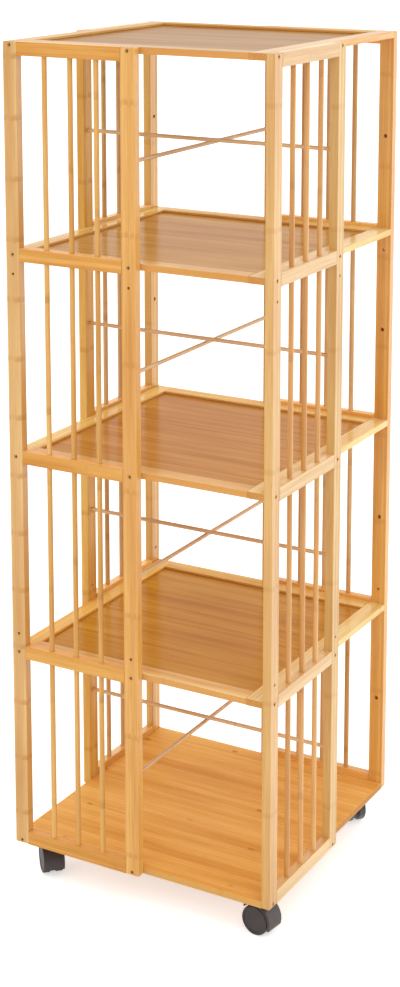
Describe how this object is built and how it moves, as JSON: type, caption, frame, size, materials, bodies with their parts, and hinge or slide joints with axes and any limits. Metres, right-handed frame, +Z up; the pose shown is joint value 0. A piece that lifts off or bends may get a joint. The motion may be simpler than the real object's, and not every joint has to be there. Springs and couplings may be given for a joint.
{
  "type": "rolling tower bookcase",
  "caption": "Tall square bamboo bookcase on swivel casters: framed shelves between ladder-like half panels set like a pinwheel, with thin crossing rods in each tier.",
  "frame": {"origin": "on the floor under the middle of the tower", "axes": "+Z up; -Y out of the front face; +X to the right of that face"},
  "size_m": [0.4, 0.4, 1.153],
  "materials": {
    "upright_bamboo": "satin clear-coated carbonised bamboo",
    "frame_bamboo": "satin clear-coated bamboo",
    "dowel_bamboo": "sanded and oiled bamboo",
    "panel_veneer": "satin bamboo veneer board",
    "plank_bamboo": "satin laminated bamboo strips",
    "screw_bronze": "dark bronzed",
    "caster_steel": "zinc plated",
    "hood_nylon": "fine moulded texture",
    "wheel_nylon": "fine moulded texture"
  },
  "bodies": {
    "tower": {"top_left_rail": "frame_bamboo", "top_right_rail": "frame_bamboo", "top_front_rail": "frame_bamboo", "top_back_rail": "frame_bamboo", "top_panel": "panel_veneer", "upper_left_rail": "frame_bamboo", "upper_right_rail": "frame_bamboo", "upper_front_rail": "frame_bamboo", "upper_back_rail": "frame_bamboo", "upper_panel": "panel_veneer", "middle_left_rail": "frame_bamboo", "middle_right_rail": "frame_bamboo", "middle_front_rail": "frame_bamboo", "middle_back_rail": "frame_bamboo", "middle_panel": "panel_veneer", "lower_left_rail": "frame_bamboo", "lower_right_rail": "frame_bamboo", "lower_front_rail": "frame_bamboo", "lower_back_rail": "frame_bamboo", "lower_panel": "panel_veneer", "bottom_board": "plank_bamboo", "front_corner_upright": "upright_bamboo", "front_middle_upright": "upright_bamboo", "right_corner_upright": "upright_bamboo", "right_middle_upright": "upright_bamboo", "back_corner_upright": "upright_bamboo", "back_middle_upright": "upright_bamboo", "left_corner_upright": "upright_bamboo", "left_middle_upright": "upright_bamboo", "front_rails": "frame_bamboo", "right_rails": "frame_bamboo", "back_rails": "frame_bamboo", "left_rails": "frame_bamboo", "front_dowels": "dowel_bamboo", "right_dowels": "dowel_bamboo", "back_dowels": "dowel_bamboo", "left_dowels": "dowel_bamboo", "cross_rods_x": "dowel_bamboo", "cross_rods_y": "dowel_bamboo", "shelf_screws": "screw_bronze", "caster_plates": "caster_steel", "caster_screws": "caster_steel"},
    "front_left_caster": {"front_left_hood": "hood_nylon", "front_left_axle": "caster_steel"},
    "front_left_wheel_a": {"front_left_wheel_a": "wheel_nylon"},
    "front_left_wheel_b": {"front_left_wheel_b": "wheel_nylon"},
    "front_right_caster": {"front_right_hood": "hood_nylon", "front_right_axle": "caster_steel"},
    "front_right_wheel_a": {"front_right_wheel_a": "wheel_nylon"},
    "front_right_wheel_b": {"front_right_wheel_b": "wheel_nylon"},
    "back_right_caster": {"back_right_hood": "hood_nylon", "back_right_axle": "caster_steel"},
    "back_right_wheel_a": {"back_right_wheel_a": "wheel_nylon"},
    "back_right_wheel_b": {"back_right_wheel_b": "wheel_nylon"},
    "back_left_caster": {"back_left_hood": "hood_nylon", "back_left_axle": "caster_steel"},
    "back_left_wheel_a": {"back_left_wheel_a": "wheel_nylon"},
    "back_left_wheel_b": {"back_left_wheel_b": "wheel_nylon"}
  },
  "joints": [
    {"name": "front_left_swivel", "type": "hinge", "parent": "tower", "child": "front_left_caster", "pos_m": [-0.16, -0.16, 0.0445], "axis": [0, 0, 1], "continuous": true},
    {"name": "front_left_roll_a", "type": "hinge", "parent": "front_left_caster", "child": "front_left_wheel_a", "pos_m": [-0.15081, -0.16919, 0.02], "axis": [0.7071, 0.7071, 0], "continuous": true},
    {"name": "front_left_roll_b", "type": "hinge", "parent": "front_left_caster", "child": "front_left_wheel_b", "pos_m": [-0.15081, -0.16919, 0.02], "axis": [0.7071, 0.7071, 0], "continuous": true},
    {"name": "front_right_swivel", "type": "hinge", "parent": "tower", "child": "front_right_caster", "pos_m": [0.16, -0.16, 0.0445], "axis": [0, 0, 1], "continuous": true},
    {"name": "front_right_roll_a", "type": "hinge", "parent": "front_right_caster", "child": "front_right_wheel_a", "pos_m": [0.17287, -0.16181, 0.02], "axis": [0.1392, 0.9903, 0], "continuous": true},
    {"name": "front_right_roll_b", "type": "hinge", "parent": "front_right_caster", "child": "front_right_wheel_b", "pos_m": [0.17287, -0.16181, 0.02], "axis": [0.1392, 0.9903, 0], "continuous": true},
    {"name": "back_right_swivel", "type": "hinge", "parent": "tower", "child": "back_right_caster", "pos_m": [0.16, 0.16, 0.0445], "axis": [0, 0, 1], "continuous": true},
    {"name": "back_right_roll_a", "type": "hinge", "parent": "back_right_caster", "child": "back_right_wheel_a", "pos_m": [0.15004, 0.16836, 0.02], "axis": [-0.6428, -0.766, 0], "continuous": true},
    {"name": "back_right_roll_b", "type": "hinge", "parent": "back_right_caster", "child": "back_right_wheel_b", "pos_m": [0.15004, 0.16836, 0.02], "axis": [-0.6428, -0.766, 0], "continuous": true},
    {"name": "back_left_swivel", "type": "hinge", "parent": "tower", "child": "back_left_caster", "pos_m": [-0.16, 0.16, 0.0445], "axis": [0, 0, 1], "continuous": true},
    {"name": "back_left_roll_a", "type": "hinge", "parent": "back_left_caster", "child": "back_left_wheel_a", "pos_m": [-0.15664, 0.17256, 0.02], "axis": [-0.9659, 0.2588, 0], "continuous": true},
    {"name": "back_left_roll_b", "type": "hinge", "parent": "back_left_caster", "child": "back_left_wheel_b", "pos_m": [-0.15664, 0.17256, 0.02], "axis": [-0.9659, 0.2588, 0], "continuous": true}
  ]
}
